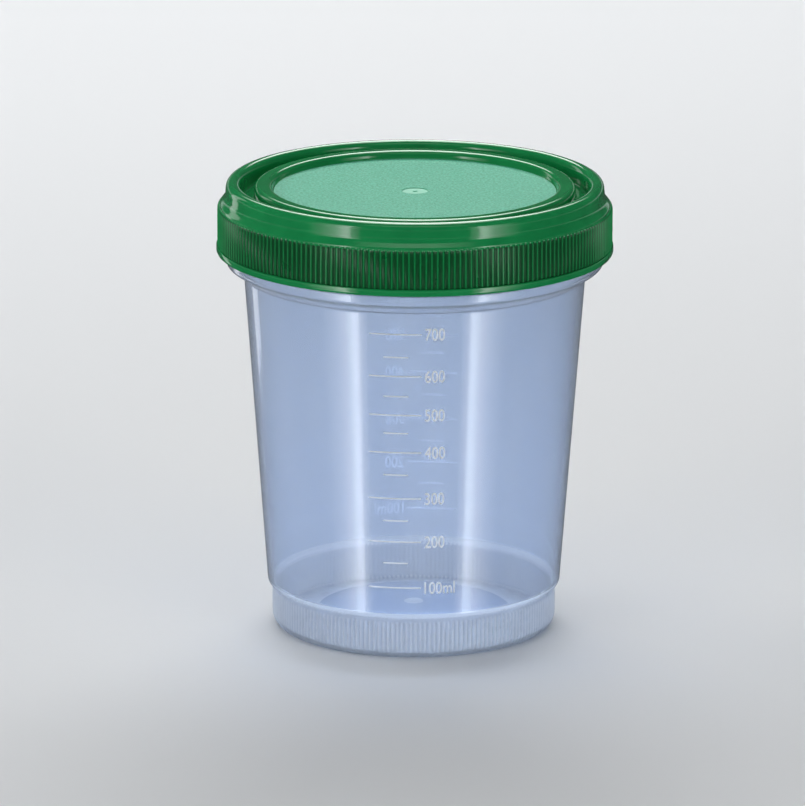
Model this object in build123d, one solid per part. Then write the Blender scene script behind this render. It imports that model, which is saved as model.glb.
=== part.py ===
from build123d import *
import math
import os

# Specimen container with a screw lid. Millimetres, +Z up.
# The origin is the centre of the foot's resting circle. The lid is closed.

# Cup: heights
ledge_z = 12.9
wall_top_z = 111.65
flange_rise = 3.7
flange_thickness = 2.75
neck_height = 20.05
flange_low_z = wall_top_z + flange_rise
flange_top_z = flange_low_z + flange_thickness
lip_z = flange_top_z + neck_height

# Cup: radii, out from the foot
rest_inner_r = 36.5
foot_r = 43.6
foot_corner_r = 2.6
ledge_width = 1.8
wall_flare = 7.3
mouth_step = 2.45
neck_wall = 1.2
flange_width = 1.8
wall_low_r = foot_r + ledge_width
wall_top_r = wall_low_r + wall_flare
neck_inner_r = wall_top_r + mouth_step
neck_r = neck_inner_r + neck_wall
flange_r = neck_r + flange_width

# Cup: walls and floor
cup_wall = 1.05
foot_wall = 0.9
floor_thickness = 1.2
floor_edge_z = 1.4
floor_centre_z = 6.2
under_flat_r = 12.0
gate_r = 3.0
gate_tip_r = 1.2
gate_height = 0.6
cone_offset = 0.75
ledge_rise = 0.9

# Grip ribs round the foot, standing proud of it
foot_rib_count = 190
foot_rib_depth = 0.38
foot_rib_r = foot_r + foot_rib_depth + 0.07
foot_rib_top_z = 12.0

# The ribbed bands are turned this much too wide, then cut back to their ribs
rib_allowance = 0.15

# Seal ring between the cup's lip and the lid's land
seal_thickness = 1.1
seal_gap = 0.2

# Lid: heights, up from the cup's flange and down from the rim
lid_gap = 0.8
bead_height = 2.1
lid_rib_length = 12.25
shoulder_height = 2.3
land_wall = 1.5
ring_drop = 1.0
recess_depth = 2.25
groove_depth = 6.1
lid_wall = 1.4
lid_low_z = flange_top_z + lid_gap
bead_top_z = lid_low_z + bead_height
rib_top_z = bead_top_z + lid_rib_length
shoulder_z = rib_top_z + shoulder_height
land_z = lip_z + seal_thickness
rim_top_z = land_z + land_wall
ring_top_z = rim_top_z - ring_drop
disc_z = ring_top_z - recess_depth
groove_floor_z = rim_top_z - groove_depth
plug_low_z = groove_floor_z - lid_wall

# Lid: skirt radii, out from the cup's neck with room for the thread
thread_room = 2.2
skirt_wall = 1.8
lid_rib_count = 220
lid_rib_depth = 0.55
bead_overhang = 0.3
skirt_inner_r = neck_r + thread_room
rib_valley_r = skirt_inner_r + skirt_wall
lid_rib_r = rib_valley_r + lid_rib_depth
bead_r = lid_rib_r + bead_overhang
shoulder_low_r = rib_valley_r - 0.05

# Lid: rim and plug radii, round the cup's lip
lip_clearance = 0.6
plug_clearance = 0.3
rim_wall = 1.55
rim_draft = 0.4
plug_wall = 1.0
rim_round = 1.2
rim_cavity_r = neck_r + lip_clearance
rim_low_r = rim_cavity_r + rim_wall
rim_high_r = rim_low_r - rim_draft
plug_r = neck_inner_r - plug_clearance
rim_inner_r = plug_r - plug_wall

# Lid: inner ring, whose recess takes the foot of another container
recess_clearance = 0.65
recess_draft = 0.5
ring_width = 5.1
ring_round = 0.9
ring_inner_r = foot_r + recess_clearance
ring_outer_r = ring_inner_r + ring_width
disc_r = ring_inner_r - recess_draft
lid_gate_r = 4.0
lid_gate_depth = 0.25


def turned(points):
    """A solid of revolution about Z from a closed outline of (radius, height) points."""
    outline = Polyline(*[(r, 0, z) for r, z in points], close=True)
    return revolve(make_face(outline), Axis.Z)


def dome(edge_r, edge_z, centre_z):
    """Points of a shallow dome from its edge to the axis, in two straight runs."""
    mid_share = 0.6
    mid_z = centre_z - (centre_z - edge_z) * mid_share ** 2
    return [(edge_r, edge_z), (edge_r * mid_share, mid_z), (0, centre_z)]


def corner_arc(centre_r, centre_z, radius, start_deg, end_deg, steps):
    """Points along a rounded corner of an outline."""
    points = []
    for i in range(steps + 1):
        angle = math.radians(start_deg + (end_deg - start_deg) * i / steps)
        points.append((centre_r + radius * math.cos(angle), centre_z + radius * math.sin(angle)))
    return points


def groove_cutter(count, peak_r, depth, low_z, high_z):
    """A ring whose inside is a row of V ridges; taking it away leaves upright ribs."""
    points = []
    for i in range(count):
        for r, turn in ((peak_r - depth, 0), (peak_r, 0.5)):
            angle = 2 * math.pi * (i + turn) / count
            points.append((r * math.cos(angle), r * math.sin(angle)))
    star = make_face(Polyline(*points, close=True))
    ring = make_face(Edge.make_circle(peak_r + 2)) - star
    return Pos(0, 0, low_z) * extrude(ring, high_z - low_z)


def cup_outline():
    """Half section of the cup: up the outside, down the inside and back under the floor."""
    rib_wall_r = foot_rib_r + rib_allowance
    outside = [(rest_inner_r, 0)]
    outside += corner_arc(foot_r - foot_corner_r, foot_corner_r, foot_corner_r, -90, 0, 2)
    outside += [
        (rib_wall_r, foot_corner_r),
        (rib_wall_r, foot_rib_top_z),
        (foot_r, foot_rib_top_z),
        (foot_r, ledge_z),
        (wall_low_r, ledge_z + ledge_rise),
        (wall_top_r, wall_top_z),
        (flange_r, flange_low_z),
        (flange_r, flange_top_z),
        (neck_r, flange_top_z),
        (neck_r, lip_z),
        (neck_inner_r, lip_z),
    ]
    # The inside follows the outside one wall thickness away
    inner_top_r = wall_top_r - cup_wall
    inner_cone_z = wall_top_z + cone_offset
    cone_slope = (flange_low_z - wall_top_z) / (flange_r - wall_top_r)
    inside = [
        (neck_inner_r, inner_cone_z + cone_slope * (neck_inner_r - inner_top_r)),
        (inner_top_r, inner_cone_z),
        (wall_low_r - cup_wall, ledge_z + 2 * ledge_rise),
        (foot_r - foot_wall, ledge_z + ledge_rise / 2),
    ]
    inside += dome(foot_r - foot_wall, floor_edge_z, floor_centre_z)
    under_z = floor_centre_z - floor_thickness
    return outside + inside + [(0, under_z), (under_flat_r, under_z)]


def make_container():
    """The cup with its ribbed foot and the moulding's gate mark inside, on the centre of the floor."""
    gate = Pos(0, 0, floor_centre_z - gate_height) * Cone(
        gate_r, gate_tip_r, 2 * gate_height, align=(Align.CENTER, Align.CENTER, Align.MIN)
    )
    ribs = groove_cutter(
        foot_rib_count, foot_rib_r, foot_rib_depth, foot_corner_r, foot_rib_top_z
    )
    return turned(cup_outline()) + gate - ribs


def lid_outline():
    """Half section of the lid: up the outside to the centre and back along the underside."""
    rib_wall_r = lid_rib_r + rib_allowance
    outside = [
        (skirt_inner_r, lid_low_z),
        (bead_r, lid_low_z),
        (bead_r, bead_top_z),
        (rib_wall_r, bead_top_z),
        (rib_wall_r, rib_top_z),
        (shoulder_low_r, rib_top_z),
        (rim_low_r, shoulder_z),
    ]
    outside += corner_arc(rim_high_r - rim_round, rim_top_z - rim_round, rim_round, 0, 90, 2)
    outside += corner_arc(rim_inner_r + rim_round, rim_top_z - rim_round, rim_round, 90, 180, 2)
    outside += [(rim_inner_r, groove_floor_z), (ring_outer_r, groove_floor_z)]
    outside += corner_arc(ring_outer_r - ring_round, ring_top_z - ring_round, ring_round, 0, 90, 2)
    outside += [(ring_inner_r, ring_top_z), (disc_r, disc_z), (0, disc_z)]
    # The underside is one wall thickness away, round the plug that enters the neck
    plug_inner_r = ring_outer_r - lid_wall
    underside = [
        (0, disc_z - lid_wall),
        (plug_inner_r, disc_z - lid_wall),
        (plug_inner_r, plug_low_z),
        (plug_r, plug_low_z),
        (plug_r, land_z),
        (rim_cavity_r, land_z),
        (rim_cavity_r, shoulder_z),
        (skirt_inner_r, rib_top_z),
    ]
    return outside + underside


def make_lid():
    """The screw lid with its ribbed skirt and the round gate mark in its centre."""
    mark = Pos(0, 0, disc_z) * Cylinder(lid_gate_r, 2 * lid_gate_depth)
    ribs = groove_cutter(lid_rib_count, lid_rib_r, lid_rib_depth, bead_top_z, rib_top_z)
    return turned(lid_outline()) - mark - ribs


def make_seal_ring():
    """The flat ring between the cup's lip and the lid's land."""
    low_r = plug_r + seal_gap
    high_r = rim_cavity_r - seal_gap
    return turned([(low_r, lip_z), (high_r, lip_z), (high_r, land_z), (low_r, land_z)])


def make_parts():
    """Every separate piece by its name."""
    return {
        "container": make_container(),
        "seal_ring": make_seal_ring(),
        "lid": make_lid(),
    }


os.makedirs("parts", exist_ok=True)
for name, solid in make_parts().items():
    export_step(solid, f"parts/{name}.step")
    print(name, solid.bounding_box(), round(solid.volume), len(solid.faces()), len(solid.solids()))
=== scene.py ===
import math

import bmesh
import bpy
from mathutils import Matrix, Vector


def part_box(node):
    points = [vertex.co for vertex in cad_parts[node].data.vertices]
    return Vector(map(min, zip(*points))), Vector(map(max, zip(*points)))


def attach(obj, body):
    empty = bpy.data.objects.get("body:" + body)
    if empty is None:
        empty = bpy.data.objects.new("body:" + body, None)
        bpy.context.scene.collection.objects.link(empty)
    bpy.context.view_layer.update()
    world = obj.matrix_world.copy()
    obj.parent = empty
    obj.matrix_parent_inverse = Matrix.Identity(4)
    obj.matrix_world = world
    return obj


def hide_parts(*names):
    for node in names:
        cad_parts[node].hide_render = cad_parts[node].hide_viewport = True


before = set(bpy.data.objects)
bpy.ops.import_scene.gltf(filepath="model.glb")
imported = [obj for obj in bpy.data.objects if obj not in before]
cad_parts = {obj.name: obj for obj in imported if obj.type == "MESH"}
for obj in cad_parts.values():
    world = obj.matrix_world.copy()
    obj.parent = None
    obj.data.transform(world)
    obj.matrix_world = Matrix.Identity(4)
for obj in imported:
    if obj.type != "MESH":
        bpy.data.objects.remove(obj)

# Lengths are millimetres until a finished piece is scaled to the frame's metres.
MM = 0.001
TURN = 2 * math.pi
# Edges that turn further than this stay sharp
SHARP_DEG = 44

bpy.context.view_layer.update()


def box_mm(node):
    """Lowest and highest corner of a CAD node, in millimetres."""
    return [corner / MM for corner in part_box(node)]


cup_high = box_mm("container")[1]
lid_low, lid_high = box_mm("lid")

# Cup: radii and heights, with the foot on the floor at height 0
flange_r = cup_high.x
lip_z = cup_high.z
neck_inner_r = 55.15
neck_wall = 1.2
neck_r = neck_inner_r + neck_wall
foot_r = 43.6
foot_corner = 2.6
rest_inner_r = 36.5
ledge_z = 12.9
ledge_rise = 0.9
wall_low_r, wall_low_z = 45.4, ledge_z + ledge_rise
wall_top_r, wall_top_z = 52.7, 111.65
flange_low_z, flange_top_z = 115.35, 118.1
cup_wall = 1.05
foot_wall = 0.9
foot_inner_r = foot_r - foot_wall

# Cup: the domed floor, bent at two rings, and its gate mark
floor_edge_z, floor_centre_z = 1.4, 6.2
floor_thickness = 1.2
floor_ring_r, floor_ring_z = 30.0, 3.8
dome_ring_r, dome_ring_z = 18, 5.5
under_z = floor_centre_z - floor_thickness
gate_r, gate_height = 3.0, 0.6

# Cup: grip ribs, as (height, share of the full rib) rows and one rib's shape from crest to crest
foot_rib_count = 190
foot_rib_height = 0.45
foot_rib_rows = (
    (1.2, 0), (2.0, 0.35), (3.0, 0.8), (4.2, 1), (4.5, 1),
    (10.9, 1), (11.2, 1), (11.7, 0.75), (12.0, 0),
)
FOOT_RIB_WAVE = (1, 0.4, 0, 0.4)

# Lid: wall thicknesses, steps and clearances
lid_wall = 1.4
land_wall = 1.5
rim_wall = 1.55
rim_draft = 0.4
plug_wall = 1.0
skirt_wall = 1.6
bead_step = 1.05
lip_clearance = 0.6
plug_clearance = 0.3
recess_clearance = 0.65
recess_draft = 0.5
ring_width = 5.1
bead_height = 2.1
lid_rib_length = 12.25
shoulder_height = 2.3
ring_drop = 1.0
recess_depth = 2.25
groove_depth = 6.1

# Lid: heights
rim_top_z = lid_high.z
ring_top_z = rim_top_z - ring_drop
disc_z = ring_top_z - recess_depth
groove_floor_z = rim_top_z - groove_depth
plug_low_z = groove_floor_z - lid_wall
land_z = rim_top_z - land_wall
lid_low_z = lid_low.z
bead_top_z = lid_low_z + bead_height
rib_top_z = bead_top_z + lid_rib_length
shoulder_z = rib_top_z + shoulder_height

# Lid: radii
bead_r = lid_high.x
rib_valley_r = bead_r - bead_step
skirt_inner_r = rib_valley_r - skirt_wall
rim_cavity_r = neck_r + lip_clearance
rim_low_r = rim_cavity_r + rim_wall
rim_high_r = rim_low_r - rim_draft
plug_r = neck_inner_r - plug_clearance
rim_inner_r = plug_r - plug_wall
ring_inner_r = foot_r + recess_clearance
ring_outer_r = ring_inner_r + ring_width
plug_inner_r = ring_outer_r - lid_wall
disc_r = ring_inner_r - recess_draft
lid_gate_r, lid_gate_depth = 4.1, 0.25

# Lid: grip ribs, given like the foot's
lid_rib_height = 0.75
lid_rib_count = 220
lid_rib_rows = (
    (bead_top_z, 1), (bead_top_z + 0.3, 1), (rib_top_z - 1.3, 1), (rib_top_z - 1.0, 1),
    (rib_top_z - 0.5, 0.85), (rib_top_z - 0.2, 0.5), (rib_top_z, 0),
)
LID_RIB_WAVE = (1, 0.45, 0, 0, 0.45)

# Screw thread: one right-hand start
thread_lead = 6.0
thread_height = 1.5
thread_root_width, thread_crest_width = 2.5, 1.2
cup_thread_z, cup_thread_turns = flange_top_z + 5.1, 1.5
lid_thread_z, lid_thread_turns = lid_low_z + 2.1, 1.1

# Volume scale: height of each mark above the foot, in steps of 50 ml from 100 ml
mark_heights = (
    23.5, 31.5, 38.4, 45.2, 52.4, 60.0, 67.2, 73.4, 79.2, 85.2, 91.6, 97.7, 105.0,
)
first_volume, volume_step = 100, 50
mark_turn = math.radians(-0.75)
long_mark = (-13.2, 2.8)
short_mark = (-8.8, -1.2)
numeral_start = 3.9
numeral_height = 3.9
numeral_width = 6.1
mark_raise, mark_width = 0.22, 0.42


def outline(mesh, corners):
    """A half section in the XZ plane, from (radius, height, rounding) corners round the wall."""
    verts = [mesh.verts.new((r, 0, z)) for r, z, _ in corners]
    mesh.faces.new(verts)
    for vert, (_, _, rounding) in zip(verts, corners):
        if rounding:
            bmesh.ops.bevel(
                mesh, geom=[vert], offset=rounding, offset_type="OFFSET", affect="VERTICES",
                segments=4 if rounding > 1.1 else 2, profile=0.5, material=-1,
            )
    bmesh.ops.delete(mesh, geom=mesh.faces[:], context="FACES_ONLY")
    on_axis = [e for e in mesh.edges if all(v.co.x < 1e-6 for v in e.verts)]
    bmesh.ops.delete(mesh, geom=on_axis, context="EDGES")
    keep_flat(mesh)


def bend(vert):
    """How far an outline turns at a point, in radians."""
    if len(vert.link_edges) < 2:
        return 0.0
    before, after = (edge.other_vert(vert).co - vert.co for edge in vert.link_edges)
    return math.pi - before.angle(after)


def keep_flat(mesh, least=1.5, margin=0.3):
    """Splits long edges near their soft corners, so that smooth shading bends only there."""
    soft = {vert for vert in mesh.verts if math.radians(3) < bend(vert) < math.radians(SHARP_DEG)}
    for edge in mesh.edges[:]:
        if edge.calc_length() < least:
            continue
        start, end = edge.verts
        for corner, far in ((start, end), (end, start)):
            if corner in soft:
                along = far.co - corner.co
                rest = min(
                    corner.link_edges,
                    key=lambda e: along.angle(e.other_vert(corner).co - corner.co),
                )
                bmesh.utils.edge_split(rest, corner, margin / rest.calc_length())


def spin(mesh, geom, angle, steps, rise=0.0, copies=False):
    """Turns geometry about the Z axis, as a skin or as separate copies."""
    return bmesh.ops.spin(
        mesh, geom=geom, cent=(0, 0, 0), axis=(0, 0, 1), dvec=(0, 0, rise / steps),
        angle=angle, steps=steps, use_merge=False, use_normal_flip=False, use_duplicate=copies,
    )


def share_at(rows, z):
    """Reads a table of (height, share) rows at height z."""
    for (low, low_share), (high, high_share) in zip(rows, rows[1:]):
        if low <= z <= high:
            return low_share + (high_share - low_share) * (z - low) / (high - low)
    return 0.0


def ribbed_turning(corners, count, wave, rows, height, least_r):
    """A turned shell whose wall outside least_r carries upright ribs between the rows."""
    mesh = bmesh.new()
    outline(mesh, corners)
    pitch = TURN / count
    spin(mesh, mesh.verts[:] + mesh.edges[:], pitch, len(wave))
    bmesh.ops.remove_doubles(mesh, verts=mesh.verts, dist=1e-5)
    for vert in mesh.verts:
        r = vert.co.xy.length
        if r < least_r:
            continue
        column = round(math.atan2(vert.co.y, vert.co.x) / pitch * len(wave)) % len(wave)
        push = wave[column] * share_at(rows, vert.co.z) * height
        vert.co.xy *= (r + push) / r
    everything = mesh.verts[:] + mesh.edges[:] + mesh.faces[:]
    spin(mesh, everything, TURN - pitch, count - 1, copies=True)
    return mesh


def ridge(mesh, root_r, height, root_width, crest_width, z, start, sweep, rise=0.0, run_out=0.06):
    """A trapezoid ridge on a round wall; a negative height points inwards."""
    sunk_depth, step_deg, least_share = 0.1, 4, 0.1
    sunk_r = root_r - math.copysign(sunk_depth, height)
    section = [
        (sunk_r, -root_width / 2),
        (root_r + height, -crest_width / 2),
        (root_r + height, crest_width / 2),
        (sunk_r, root_width / 2),
    ]
    turn = Matrix.Rotation(start, 3, "Z")
    verts = [mesh.verts.new(turn @ Vector((r, 0, z + dz))) for r, dz in section]
    face = mesh.faces.new(verts)
    steps = max(8, round(abs(sweep) / math.radians(step_deg)))
    known = set(mesh.verts)
    spin(mesh, [face] + face.edges[:] + verts, sweep, steps, rise)
    made = [v for v in mesh.verts if v not in known]
    # Both ends run out into the wall
    for number, vert in enumerate(verts + made):
        share = number // len(section) / steps
        swell = min(1.0, least_share + share / run_out, least_share + (1 - share) / run_out)
        r = vert.co.xy.length
        if abs(r - sunk_r) > sunk_depth / 2:
            vert.co.xy *= (root_r + (r - root_r) * swell) / r


def wall_r(z):
    """Outside radius of the cup's tapered wall at height z."""
    return wall_low_r + (wall_top_r - wall_low_r) * (z - wall_low_z) / (wall_top_z - wall_low_z)


def numeral_mesh(words):
    """Raised lettering as a mesh in the XZ plane, standing towards -Y."""
    curve = bpy.data.curves.new(words, "FONT")
    curve.body = words
    curve.size = 5.0
    curve.extrude = 0.1
    curve.offset = -0.008
    curve.bevel_depth = 0.03
    curve.bevel_resolution = 0
    curve.resolution_u = 4
    holder = bpy.data.objects.new(words, curve)
    bpy.context.collection.objects.link(holder)
    shaped = holder.evaluated_get(bpy.context.evaluated_depsgraph_get())
    flat = bpy.data.meshes.new_from_object(shaped)
    mesh = bmesh.new()
    mesh.from_mesh(flat)
    bpy.data.objects.remove(holder)
    upright = Matrix.Rotation(math.pi / 2, 3, "X")
    bmesh.ops.rotate(mesh, verts=mesh.verts, cent=(0, 0, 0), matrix=upright)
    return mesh


def span(mesh, axis):
    """Lowest and highest coordinate of a mesh along one axis."""
    values = [v.co[axis] for v in mesh.verts]
    return min(values), max(values)


def add_numeral(mesh, words, scale, z, side):
    """Wraps one label round the wall at height z, beside its long mark."""
    label = numeral_mesh(words)
    low_z, high_z = span(label, 2)
    to_start = (-span(label, 0)[0], 0, -(low_z + high_z) / 2)
    bmesh.ops.translate(label, verts=label.verts, vec=to_start)
    bmesh.ops.scale(label, verts=label.verts, vec=scale)
    for vert in label.verts:
        level = z + vert.co.z
        r = wall_r(level) - vert.co.y
        angle = (numeral_start + vert.co.x) / wall_r(level) + mark_turn + side
        vert.co = (r * math.sin(angle), -r * math.cos(angle), level)
    part = bpy.data.meshes.new("label")
    label.to_mesh(part)
    label.free()
    mesh.from_mesh(part)
    bpy.data.meshes.remove(part)


def add_mark(mesh, z, arc, side):
    """One raised line of the scale; arc is its two ends in millimetres from the middle."""
    r = wall_r(z)
    middle = -TURN / 4 + mark_turn + side
    start, end = (middle + place / r for place in arc)
    ridge(mesh, r, mark_raise, mark_width, mark_width * 0.6, z, start, end - start)


def close_seams(mesh):
    """Merges doubled points and turns the faces outwards."""
    bmesh.ops.remove_doubles(mesh, verts=mesh.verts, dist=1e-3)
    bmesh.ops.recalc_face_normals(mesh, faces=mesh.faces)


def finished(mesh, name, body, materials):
    """Turns a millimetre bmesh into a smooth piece that rides on a body."""
    close_seams(mesh)
    bmesh.ops.scale(mesh, verts=mesh.verts, vec=(MM, MM, MM))
    data = bpy.data.meshes.new(name)
    mesh.to_mesh(data)
    mesh.free()
    data.shade_smooth()
    data.set_sharp_from_angle(angle=math.radians(SHARP_DEG))
    for material in materials:
        data.materials.append(material)
    piece = bpy.data.objects.new(name, data)
    bpy.context.collection.objects.link(piece)
    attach(piece, body)
    return piece


# Most of a noise lies between these values
NOISE_ENDS = (0.3, 0.7)


class Finish:
    """A material around one Principled shader, with short calls for its nodes."""

    def __init__(self, name, roughness, ior=1.5, **sockets):
        self.material = bpy.data.materials.new(name)
        self.material.use_nodes = True
        self.tree = self.material.node_tree
        self.shader = self.tree.nodes["Principled BSDF"]
        self.shown = self.shader.outputs[0]
        self.shader.inputs["Roughness"].default_value = roughness
        self.shader.inputs["IOR"].default_value = ior
        for socket, value in sockets.items():
            self.shader.inputs[socket.replace("_", " ")].default_value = value
        self.place = self.tree.nodes.new("ShaderNodeTexCoord").outputs["Object"]

    def noise(self, grain_mm, detail=2.0, stretch=(1, 1, 1)):
        """Noise whose features are about grain_mm across, drawn out along an axis by stretch."""
        mapping = self.tree.nodes.new("ShaderNodeMapping")
        mapping.inputs["Scale"].default_value = [1 / s for s in stretch]
        self.tree.links.new(self.place, mapping.inputs["Vector"])
        node = self.tree.nodes.new("ShaderNodeTexNoise")
        node.inputs["Scale"].default_value = 1 / (grain_mm * MM)
        node.inputs["Detail"].default_value = detail
        self.tree.links.new(mapping.outputs[0], node.inputs["Vector"])
        return node.outputs["Fac"]

    def radius(self):
        """Distance from the Z axis, in metres."""
        flat = self.tree.nodes.new("ShaderNodeVectorMath")
        flat.operation = "MULTIPLY"
        flat.inputs[1].default_value = (1, 1, 0)
        self.tree.links.new(self.place, flat.inputs[0])
        length = self.tree.nodes.new("ShaderNodeVectorMath")
        length.operation = "LENGTH"
        self.tree.links.new(flat.outputs[0], length.inputs[0])
        return length.outputs["Value"]

    def stripes(self, count):
        """Upright stripes round the Z axis, from 0 to 1 and back, one for each rib."""
        parts = self.tree.nodes.new("ShaderNodeSeparateXYZ")
        self.tree.links.new(self.place, parts.inputs[0])
        value = self.maths("ARCTAN2", parts.outputs["Y"], parts.outputs["X"])
        value = self.maths("COSINE", self.maths("MULTIPLY", value, count))
        return self.between(value, -1, 1)

    def maths(self, operation, first, second=0.0):
        """One arithmetic node on a socket and on another socket or a number."""
        node = self.tree.nodes.new("ShaderNodeMath")
        node.operation = operation
        self.tree.links.new(first, node.inputs[0])
        if isinstance(second, bpy.types.NodeSocket):
            self.tree.links.new(second, node.inputs[1])
        else:
            node.inputs[1].default_value = second
        return node.outputs[0]

    def between(self, source, low, high, results=(0, 1)):
        """A value's place between two limits, as a number between two results."""
        node = self.tree.nodes.new("ShaderNodeMapRange")
        node.inputs["From Min"].default_value = low
        node.inputs["From Max"].default_value = high
        node.inputs["To Min"].default_value = results[0]
        node.inputs["To Max"].default_value = results[1]
        self.tree.links.new(source, node.inputs["Value"])
        return node.outputs["Result"]

    def colour(self, source, dark, light, ends=NOISE_ENDS):
        """Base colour between two tones, driven by a noise or another value."""
        ramp = self.tree.nodes.new("ShaderNodeValToRGB")
        ramp.color_ramp.elements[0].position = ends[0]
        ramp.color_ramp.elements[1].position = ends[1]
        ramp.color_ramp.elements[0].color = (*dark, 1)
        ramp.color_ramp.elements[1].color = (*light, 1)
        self.tree.links.new(source, ramp.inputs["Fac"])
        self.tree.links.new(ramp.outputs["Color"], self.shader.inputs["Base Color"])

    def gloss(self, source, low, high):
        """Roughness between two values, driven by a noise."""
        level = self.between(source, *NOISE_ENDS, results=(low, high))
        self.tree.links.new(level, self.shader.inputs["Roughness"])

    def bump(self, source, depth_mm, strength=1.0):
        """Fine relief of the moulded surface."""
        bump = self.tree.nodes.new("ShaderNodeBump")
        bump.inputs["Distance"].default_value = depth_mm * MM
        bump.inputs["Strength"].default_value = strength
        self.tree.links.new(source, bump.inputs["Height"])
        self.tree.links.new(bump.outputs["Normal"], self.shader.inputs["Normal"])

    def mixed_with(self, kind, tint, share):
        """Mixes another shader into what shows; the share is a number or a socket."""
        layer = self.tree.nodes.new(kind)
        layer.inputs["Color"].default_value = (*tint, 1)
        mix = self.tree.nodes.new("ShaderNodeMixShader")
        if isinstance(share, bpy.types.NodeSocket):
            self.tree.links.new(share, mix.inputs[0])
        else:
            mix.inputs[0].default_value = share
        self.tree.links.new(self.shown, mix.inputs[1])
        self.tree.links.new(layer.outputs[0], mix.inputs[2])
        self.shown = mix.outputs[0]
        self.tree.links.new(self.shown, self.tree.nodes["Material Output"].inputs["Surface"])

    def let_lamps_through(self, tint):
        """Light from the lamps passes through the thin plastic, so its shadow stays pale."""
        path = self.tree.nodes.new("ShaderNodeLightPath")
        self.mixed_with("ShaderNodeBsdfTransparent", tint, path.outputs["Is Shadow Ray"])

    def milky(self, glow, clear, tint):
        """Glow is the share lit from behind, clear the share that shows what is behind."""
        self.mixed_with("ShaderNodeBsdfTranslucent", tint, glow)
        self.mixed_with("ShaderNodeBsdfTransparent", tint, clear)


def cup_plastic():
    """Milky, faintly blue polypropylene with soft flow lines and a light haze."""
    finish = Finish(
        "cup_polypropylene", 0.04, ior=1.4, Transmission_Weight=0.78,
        Coat_Weight=1.0, Coat_Roughness=0.17,
        Sheen_Weight=0.35, Sheen_Roughness=0.4, Sheen_Tint=(0.82, 0.89, 1.0, 1),
    )
    finish.colour(finish.noise(14, 3, (1, 1, 4)), (0.68, 0.77, 0.92), (0.73, 0.81, 0.94))
    finish.gloss(finish.noise(5, 3), 0.03, 0.06)
    finish.bump(finish.noise(1.5, 2), 0.006, 0.2)
    finish.let_lamps_through((0.84, 0.88, 0.94))
    return finish.material


def foot_plastic():
    """The same plastic on the ribbed foot: rib crests painted lightest as a highlight, grooves darker
    as painted shade.
    """
    finish = Finish("cup_polypropylene_ribbed_painted_shade", 0.3, ior=1.49)
    # Painted light and shade of the ribs: dark in the grooves, light on the crests, by radius
    depth = finish.between(finish.radius(), (foot_r + 0.05) * MM, (foot_r + foot_rib_height) * MM)
    finish.colour(depth, (0.52, 0.57, 0.65), (0.86, 0.88, 0.90), (0, 1))
    finish.gloss(finish.noise(3, 3), 0.22, 0.35)
    finish.milky(0.4, 0.35, (0.86, 0.90, 0.95))
    return finish.material


def foot_inside_plastic(name, dark):
    """Inside the foot the grip ribs' shade is painted on as dark stripes, strongest on its wall."""
    finish = Finish(name, 0.3, ior=1.49)
    # Painted rib shade: dark stripes, one for each rib
    finish.colour(finish.stripes(foot_rib_count), dark, (0.98, 0.98, 1.0), (0.15, 0.8))
    finish.gloss(finish.noise(3, 3), 0.22, 0.35)
    finish.milky(0.4, 0.05, (0.94, 0.96, 1.0))
    return finish.material


def floor_plastic():
    """The domed middle of the floor, in a darker blue than the rest of the cup."""
    finish = Finish("cup_polypropylene_floor", 0.15, ior=1.49)
    finish.colour(finish.noise(9, 3), (0.36, 0.47, 0.68), (0.42, 0.53, 0.73))
    finish.gloss(finish.noise(4, 3), 0.1, 0.2)
    finish.milky(0.2, 0.25, (0.80, 0.86, 0.95))
    return finish.material


def ledge_plastic():
    """The thick step between foot and wall, and the gate mark, painted near-white as a highlight on
    them.
    """
    finish = Finish("cup_polypropylene_thick_painted_highlight", 0.25, ior=1.49)
    # Near-white base: a painted highlight on the ledge and the gate mark
    finish.colour(finish.noise(4), (0.92, 0.94, 0.98), (0.97, 0.98, 1.0))
    finish.gloss(finish.noise(3, 3), 0.2, 0.3)
    finish.milky(0.55, 0.03, (0.96, 0.98, 1.0))
    return finish.material


def mark_plastic(name, glow):
    """The raised scale, rougher than the wall and painted near-white as a highlight on its lines; the
    marks at the back are lit from behind.
    """
    finish = Finish(name, 0.3, ior=1.49)
    # Near-white base: a painted highlight on the raised lines
    finish.colour(finish.noise(1.2), (0.93, 0.96, 0.99), (0.98, 0.99, 1.0))
    finish.bump(finish.noise(0.3), 0.01, 0.4)
    finish.milky(glow, 0.01, (0.97, 0.98, 1.0))
    finish.let_lamps_through((0.9, 0.92, 0.95))
    return finish.material


def lid_gloss():
    """Polished green polypropylene."""
    finish = Finish("lid_green_gloss", 0.12, ior=1.49)
    finish.colour(finish.noise(9, 3), (0.008, 0.24, 0.068), (0.012, 0.285, 0.082))
    finish.gloss(finish.noise(4, 3), 0.06, 0.11)
    finish.bump(finish.noise(0.9, 2), 0.006, 0.3)
    return finish.material


def lid_ribs():
    """The same green on the skirt, with painted shade in its grooves and a painted highlight on its
    crests.
    """
    finish = Finish("lid_green_ribs_painted_shade", 0.3, ior=1.49, Specular_IOR_Level=0.3)
    # Painted shade in the grooves and painted highlight on the crests, by radius
    groove_r, crest_r = rib_valley_r + 0.15, rib_valley_r + lid_rib_height
    depth = finish.between(finish.radius(), groove_r * MM, crest_r * MM)
    finish.colour(depth, (0.004, 0.10, 0.028), (0.014, 0.36, 0.10), (0.35, 1))
    finish.gloss(finish.noise(6, 3), 0.27, 0.31)
    return finish.material


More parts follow.
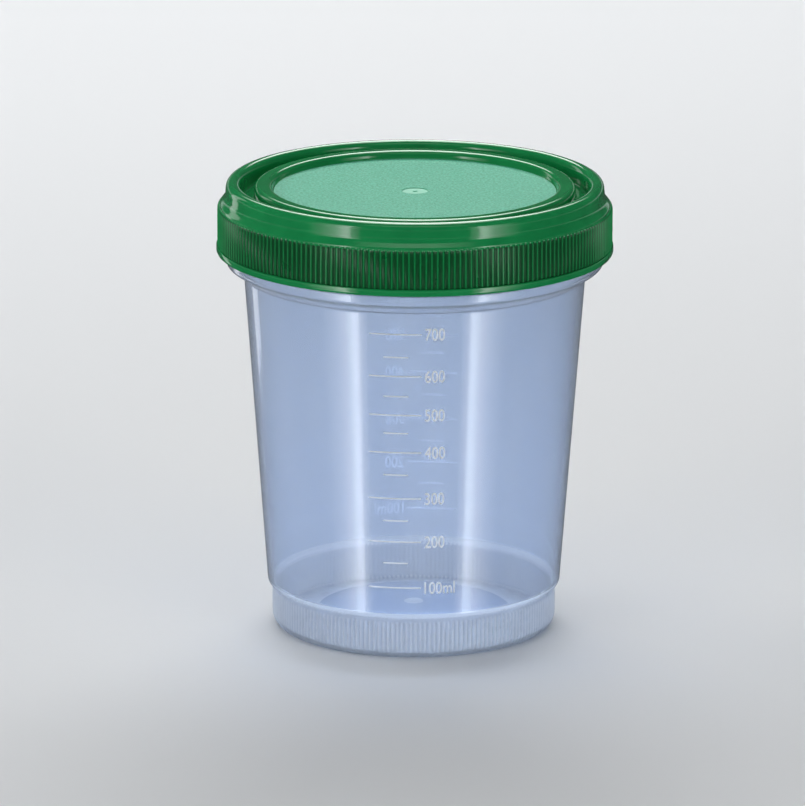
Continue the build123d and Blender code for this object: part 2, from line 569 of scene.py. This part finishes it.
def lid_matte():
    """The finely grained centre of the lid, in a paler green that paints the sheen on its grain."""
    finish = Finish("lid_green_matte_painted_sheen", 0.5, ior=1.49, Specular_IOR_Level=0.2)
    grain = finish.noise(0.8, 3)
    # Paler green: painted sheen of the grain; the mottling is the grain itself
    finish.colour(grain, (0.010, 0.285, 0.155), (0.058, 0.455, 0.285), (0.36, 0.64))
    finish.gloss(finish.noise(0.5, 2), 0.45, 0.58)
    finish.bump(finish.noise(0.55, 3), 0.15, 1.0)
    return finish.material


def lid_gate():
    """The gate mark in the lid's centre, smoother than the grain round it, in a paler green still
    that paints its sheen.
    """
    finish = Finish("lid_green_gate_painted_sheen", 0.4, ior=1.49)
    # Paler green: painted sheen on the gate mark
    finish.colour(finish.noise(1.5, 2), (0.10, 0.50, 0.31), (0.13, 0.54, 0.35))
    finish.bump(finish.noise(0.4, 3), 0.02, 0.5)
    return finish.material


def seal_rubber():
    """Off-white elastomer."""
    finish = Finish("seal_elastomer", 0.6)
    finish.colour(finish.noise(3, 2), (0.70, 0.70, 0.67), (0.76, 0.76, 0.73))
    finish.bump(finish.noise(0.4, 2), 0.02, 0.5)
    return finish.material


def make_cup():
    """The cup's shell with its ribbed foot, flange, neck and domed floor."""
    cone_slope = (flange_low_z - wall_top_z) / (flange_r - wall_top_r)
    inner_top_r = wall_top_r - cup_wall
    inner_cone_z = wall_top_z + 0.75
    corners = [
        (0, under_z, 0),
        (dome_ring_r, under_z - 0.85, 6),
        (rest_inner_r - 3, 0.75, 3),
        (rest_inner_r, 0, 0.3),
        (foot_r - foot_corner, 0, 0),
        (foot_r - 1.3, 0.35, 0),
        (foot_r - 0.55, 1.0, 0),
        (foot_r - 0.1, 1.9, 0),
    ]
    corners += [(foot_r, z, 0) for z, _ in foot_rib_rows[2:]]
    corners += [
        (foot_r, ledge_z, 0.25),
        (wall_low_r, wall_low_z, 0.5),
        (wall_top_r, wall_top_z, 0.3),
        (flange_r, flange_low_z, 0.5),
        (flange_r, flange_top_z, 0.5),
        (neck_r, flange_top_z, 0.4),
        (neck_r, lip_z, 0.35),
        (neck_inner_r, lip_z, 0.35),
        (neck_inner_r, inner_cone_z + cone_slope * (neck_inner_r - inner_top_r), 1.0),
        (inner_top_r, inner_cone_z, 0.5),
        (wall_low_r - cup_wall, wall_low_z + 0.8, 0.8),
        (foot_inner_r, wall_low_z - 0.4, 0.6),
        (foot_inner_r, floor_edge_z, 1.2),
        (floor_ring_r, floor_ring_z, 2),
        (dome_ring_r, dome_ring_z, 6),
        (gate_r, floor_centre_z - 0.05, 0.3),
        (gate_r * 0.5, floor_centre_z + gate_height, 0.5),
        (0, floor_centre_z + gate_height, 0),
    ]
    mesh = ribbed_turning(
        corners, foot_rib_count, FOOT_RIB_WAVE, foot_rib_rows, foot_rib_height, foot_r - 1.4,
    )
    close_seams(mesh)
    for face in mesh.faces:
        middle = face.calc_center_median()
        r = middle.xy.length
        # The gate mark and the inner ledge take the near-white painted-highlight material
        if middle.z > floor_centre_z and r < gate_r:
            face.material_index = 3
        elif foot_inner_r < r < wall_low_r - 0.5 and ledge_z + 0.4 < middle.z < wall_low_z + 0.85:
            face.material_index = 3
        # The foot's inner wall and the floor ring take the painted rib-shade stripes
        elif floor_ring_r < r < foot_inner_r + 0.1 and floor_edge_z < middle.z < ledge_z + 1:
            face.material_index = 2 if r > foot_inner_r - 1.5 else 4
        elif r < floor_ring_r and middle.z > floor_ring_z and face.normal.z > 0.5:
            face.material_index = 5
        # Outer foot: rib material with painted crest highlight and groove shade
        elif r > floor_ring_r and middle.z < ledge_z + 0.1:
            face.material_index = 1
    materials = [
        cup_plastic(),
        foot_plastic(),
        foot_inside_plastic("cup_polypropylene_painted_rib_shade", (0.04, 0.09, 0.22)),
        ledge_plastic(),
        foot_inside_plastic("cup_polypropylene_floor_ring_painted_rib_shade", (0.72, 0.77, 0.86)),
        floor_plastic(),
    ]
    cup = finished(mesh, "cup", "container", materials)
    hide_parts("container")


def make_cup_thread():
    """The male thread round the cup's neck."""
    mesh = bmesh.new()
    ridge(
        mesh, neck_r, thread_height, thread_root_width, thread_crest_width,
        cup_thread_z, 0, TURN * cup_thread_turns, thread_lead * cup_thread_turns,
    )
    materials = [bpy.data.materials["cup_polypropylene"]]
    finished(mesh, "cup_thread", "container", materials)


def make_scale():
    """The raised volume scale, on the front and again on the back."""
    mesh = bmesh.new()
    probe = numeral_mesh("200")
    wide, high = (b - a for a, b in (span(probe, 0), span(probe, 2)))
    probe.free()
    scale = (numeral_width / wide, 1, numeral_height / high)
    for side in (0, TURN / 2):
        for number, z in enumerate(mark_heights):
            whole = number % 2 == 0
            add_mark(mesh, z, long_mark if whole else short_mark, side)
            if whole:
                volume = first_volume + volume_step * number
                add_numeral(mesh, f"{volume}ml" if number == 0 else str(volume), scale, z, side)
    for face in mesh.faces:
        face.material_index = int(face.calc_center_median().y > 0)
    materials = [mark_plastic("scale_marks", 0.08), mark_plastic("scale_marks_back", 0.7)]
    finished(mesh, "cup_scale", "container", materials)


def make_lid():
    """The lid's shell: double-ringed top, ribbed skirt, bead and plug."""
    corners = [
        (0, disc_z, 0),
        (0.55, disc_z, 0),
        (0.8, disc_z - lid_gate_depth, 0),
        (lid_gate_r - 0.25, disc_z - lid_gate_depth, 0),
        (lid_gate_r, disc_z, 0),
        (disc_r, disc_z, 0.3),
        (ring_inner_r, ring_top_z, 1.2),
        (ring_outer_r, ring_top_z, 1.5),
        (ring_outer_r + 0.3, groove_floor_z, 0.8),
        (rim_inner_r - 0.3, groove_floor_z, 0.8),
        (rim_inner_r, rim_top_z, 1.9),
        (rim_high_r, rim_top_z, 1.9),
        (rim_low_r, shoulder_z, 0.7),
        (rib_valley_r, rib_top_z + 0.35, 0.3),
    ]
    corners += [(rib_valley_r, z, 0) for z, _ in reversed(lid_rib_rows)]
    corners += [
        (bead_r, bead_top_z, 0.35),
        (bead_r, lid_low_z, 0.5),
        (skirt_inner_r, lid_low_z, 0.3),
        (skirt_inner_r, rib_top_z, 0),
        (rim_cavity_r, shoulder_z, 0),
        (rim_cavity_r, land_z, 0),
        (plug_r, land_z, 0),
        (plug_r, plug_low_z, 0.8),
        (plug_inner_r, plug_low_z, 0),
        (plug_inner_r, disc_z - lid_wall, 0),
        (0, disc_z - lid_wall, 0),
    ]
    mesh = ribbed_turning(
        corners, lid_rib_count, LID_RIB_WAVE, lid_rib_rows, lid_rib_height, rib_valley_r - 0.1,
    )
    for face in mesh.faces:
        middle = face.calc_center_median()
        r = middle.xy.length
        # The disc takes the matte material with painted sheen, its gate mark a paler painted sheen
        if middle.z > disc_z - 0.3 and r < disc_r - 0.2:
            face.material_index = 2 if r < lid_gate_r else 1
        # Ribs below their top ends take the painted groove shade; the rounded top ends keep the
        # lighter gloss green as a painted highlight
        elif r > rib_valley_r - 0.1 and bead_top_z < middle.z < rib_top_z - 0.55:
            face.material_index = 3
    materials = [lid_gloss(), lid_matte(), lid_gate(), lid_ribs()]
    lid = finished(mesh, "lid_shell", "lid", materials)
    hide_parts("lid")


def make_lid_thread():
    """The female thread inside the lid's skirt."""
    mesh = bmesh.new()
    ridge(
        mesh, skirt_inner_r, -thread_height, thread_root_width, thread_crest_width,
        lid_thread_z, 0, TURN * lid_thread_turns, thread_lead * lid_thread_turns,
    )
    finished(mesh, "lid_thread", "lid", [bpy.data.materials["lid_green_gloss"]])


def dress_seal():
    """The seal ring stays the CAD's own, in a soft off-white elastomer."""
    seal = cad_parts["seal_ring"]
    seal.data.materials.clear()
    seal.data.materials.append(seal_rubber())


# Brightness across a lamp, as (place, share) pairs; the left softbox's runs from its outer end
SOFTBOX_PROFILE = ((0, 0), (0.3, 0.18), (0.55, 0.45), (0.72, 1), (0.8, 1), (0.84, 0.3), (1, 0.1))
MIRRORED_PROFILE = tuple((1 - place, share) for place, share in reversed(SOFTBOX_PROFILE))
SOFT_ENDS = ((0, 0), (0.4, 1), (0.6, 1), (1, 0))


def make_floor(tone):
    """A plain pale floor under and behind the cup."""
    mesh = bmesh.new()
    half_width = 6.0
    bmesh.ops.create_grid(mesh, x_segments=1, y_segments=1, size=half_width)
    data = bpy.data.meshes.new("floor")
    mesh.to_mesh(data)
    mesh.free()
    material = bpy.data.materials.new("floor_paper")
    material.use_nodes = True
    shader = material.node_tree.nodes["Principled BSDF"]
    shader.inputs["Base Color"].default_value = (*tone, 1)
    shader.inputs["Roughness"].default_value = 0.9
    data.materials.append(material)
    floor = bpy.data.objects.new("floor", data)
    # Kept out of reflections, so that polished surfaces mirror all of the softboxes
    floor.visible_glossy = False
    bpy.context.collection.objects.link(floor)


def make_world(horizon, ceiling):
    """Plain surroundings: a pale band at the horizon, dim elsewhere, and all pale through plastic."""
    world = bpy.data.worlds.new("studio")
    world.use_nodes = True
    tree = world.node_tree
    place = tree.nodes.new("ShaderNodeTexCoord")
    direction = tree.nodes.new("ShaderNodeSeparateXYZ")
    level = tree.nodes.new("ShaderNodeMapRange")
    level.inputs["From Min"].default_value = -1
    ramp = tree.nodes.new("ShaderNodeValToRGB")
    stops = ramp.color_ramp.elements
    stops[0].color = stops[1].color = (*ceiling, 1)
    for height, tone in ((-0.03, ceiling), (0.0, horizon), (0.04, horizon), (0.10, ceiling)):
        stop = stops.new((1 + height) / 2)
        stop.color = (*tone, 1)
    tree.links.new(place.outputs["Generated"], direction.inputs[0])
    tree.links.new(direction.outputs["Z"], level.inputs["Value"])
    tree.links.new(level.outputs["Result"], ramp.inputs["Fac"])
    path = tree.nodes.new("ShaderNodeLightPath")
    seen = tree.nodes.new("ShaderNodeMix")
    seen.data_type = "RGBA"
    seen.inputs["B"].default_value = (*horizon, 1)
    tree.links.new(path.outputs["Is Transmission Ray"], seen.inputs["Factor"])
    tree.links.new(ramp.outputs["Color"], seen.inputs["A"])
    tree.links.new(seen.outputs["Result"], tree.nodes["Background"].inputs["Color"])
    bpy.context.scene.world = world


def make_lamp(name, azimuth_deg, elevation_deg, width, height, radiance, profile=(), **seen_by):
    """A softbox that faces the middle of the cup; azimuth 0 is the photograph's side."""
    target, distance = Vector((0, 0, 0.07)), 2.0
    a, e = math.radians(azimuth_deg), math.radians(elevation_deg)
    away = Vector((math.sin(a) * math.cos(e), -math.cos(a) * math.cos(e), math.sin(e)))
    data = bpy.data.lights.new(name, "AREA")
    data.shape = "RECTANGLE"
    data.size, data.size_y = width, height
    data.energy = math.pi * width * height * radiance
    lamp = bpy.data.objects.new(name, data)
    lamp.location = target + away * distance
    lamp.rotation_euler = away.to_track_quat("Z", "Y").to_euler()
    lamp.visible_camera = False
    for kind, seen in seen_by.items():
        setattr(lamp, kind, seen)
    if profile:
        data.use_nodes = True
        tree = data.node_tree
        place = tree.nodes.new("ShaderNodeTexCoord")
        across = tree.nodes.new("ShaderNodeSeparateXYZ")
        ramp = tree.nodes.new("ShaderNodeValToRGB")
        stops = ramp.color_ramp.elements
        stops.remove(stops[1])
        for number, (position, share) in enumerate(profile):
            stop = stops[0] if number == 0 else stops.new(position)
            stop.position = position
            stop.color = (share, share, share, 1)
        tree.links.new(place.outputs["UV"], across.inputs[0])
        tree.links.new(across.outputs["X"], ramp.inputs["Fac"])
        tree.links.new(ramp.outputs["Color"], tree.nodes["Emission"].inputs["Color"])
    bpy.context.collection.objects.link(lamp)


def make_camera():
    """The photograph's viewpoint: a long lens looking 15 degrees down."""
    focal_px, frame_px, shift_px, sensor_mm = 7677, 806, -11.8, 36
    pitch, distance, aim_z = math.radians(14.86), 2.38, 0.06985
    lean = Matrix.Rotation(math.radians(0.2), 3, "Z")
    data = bpy.data.cameras.new("photo_camera")
    data.sensor_width = sensor_mm
    data.lens = focal_px * sensor_mm / frame_px
    data.shift_x = shift_px / frame_px
    camera = bpy.data.objects.new("photo_camera", data)
    away = Vector((0, -math.cos(pitch), math.sin(pitch)))
    camera.location = Vector((0, 0, aim_z)) + away * distance
    camera.rotation_euler = (away.to_track_quat("Z", "Y").to_matrix() @ lean).to_euler()
    bpy.context.collection.objects.link(camera)
    bpy.context.scene.camera = camera


make_cup()
make_cup_thread()
make_scale()
make_lid()
make_lid_thread()
dress_seal()
make_floor((0.72, 0.735, 0.75))
make_world((0.60, 0.62, 0.65), (0.05, 0.052, 0.055))
make_lamp("softbox_left", -49.5, 0, 1.2, 2.2, 6.4, SOFTBOX_PROFILE)
make_lamp("softbox_right", 49.5, 0, 1.2, 2.2, 5.8, MIRRORED_PROFILE)
make_lamp("softbox_side", -112, 25, 1.2, 1.2, 2.4, visible_glossy=False)
make_lamp("strip_side", -139, 5, 0.35, 1.6, 1.2, visible_diffuse=False)
make_lamp("softbox_back", 180, 40, 2.0, 0.55, 8.0, visible_glossy=False)
make_lamp("crest_light", 180, 50, 1.3, 1.8, 8.0, SOFT_ENDS, visible_diffuse=False)
make_lamp("softbox_top", 0, 76, 1.5, 1.5, 1.4, visible_glossy=False)
make_lamp("shoulder_light", 0, 64, 2.2, 0.5, 1.3, SOFT_ENDS, visible_diffuse=False)
make_camera()
bpy.context.scene.view_settings.view_transform = "Standard"
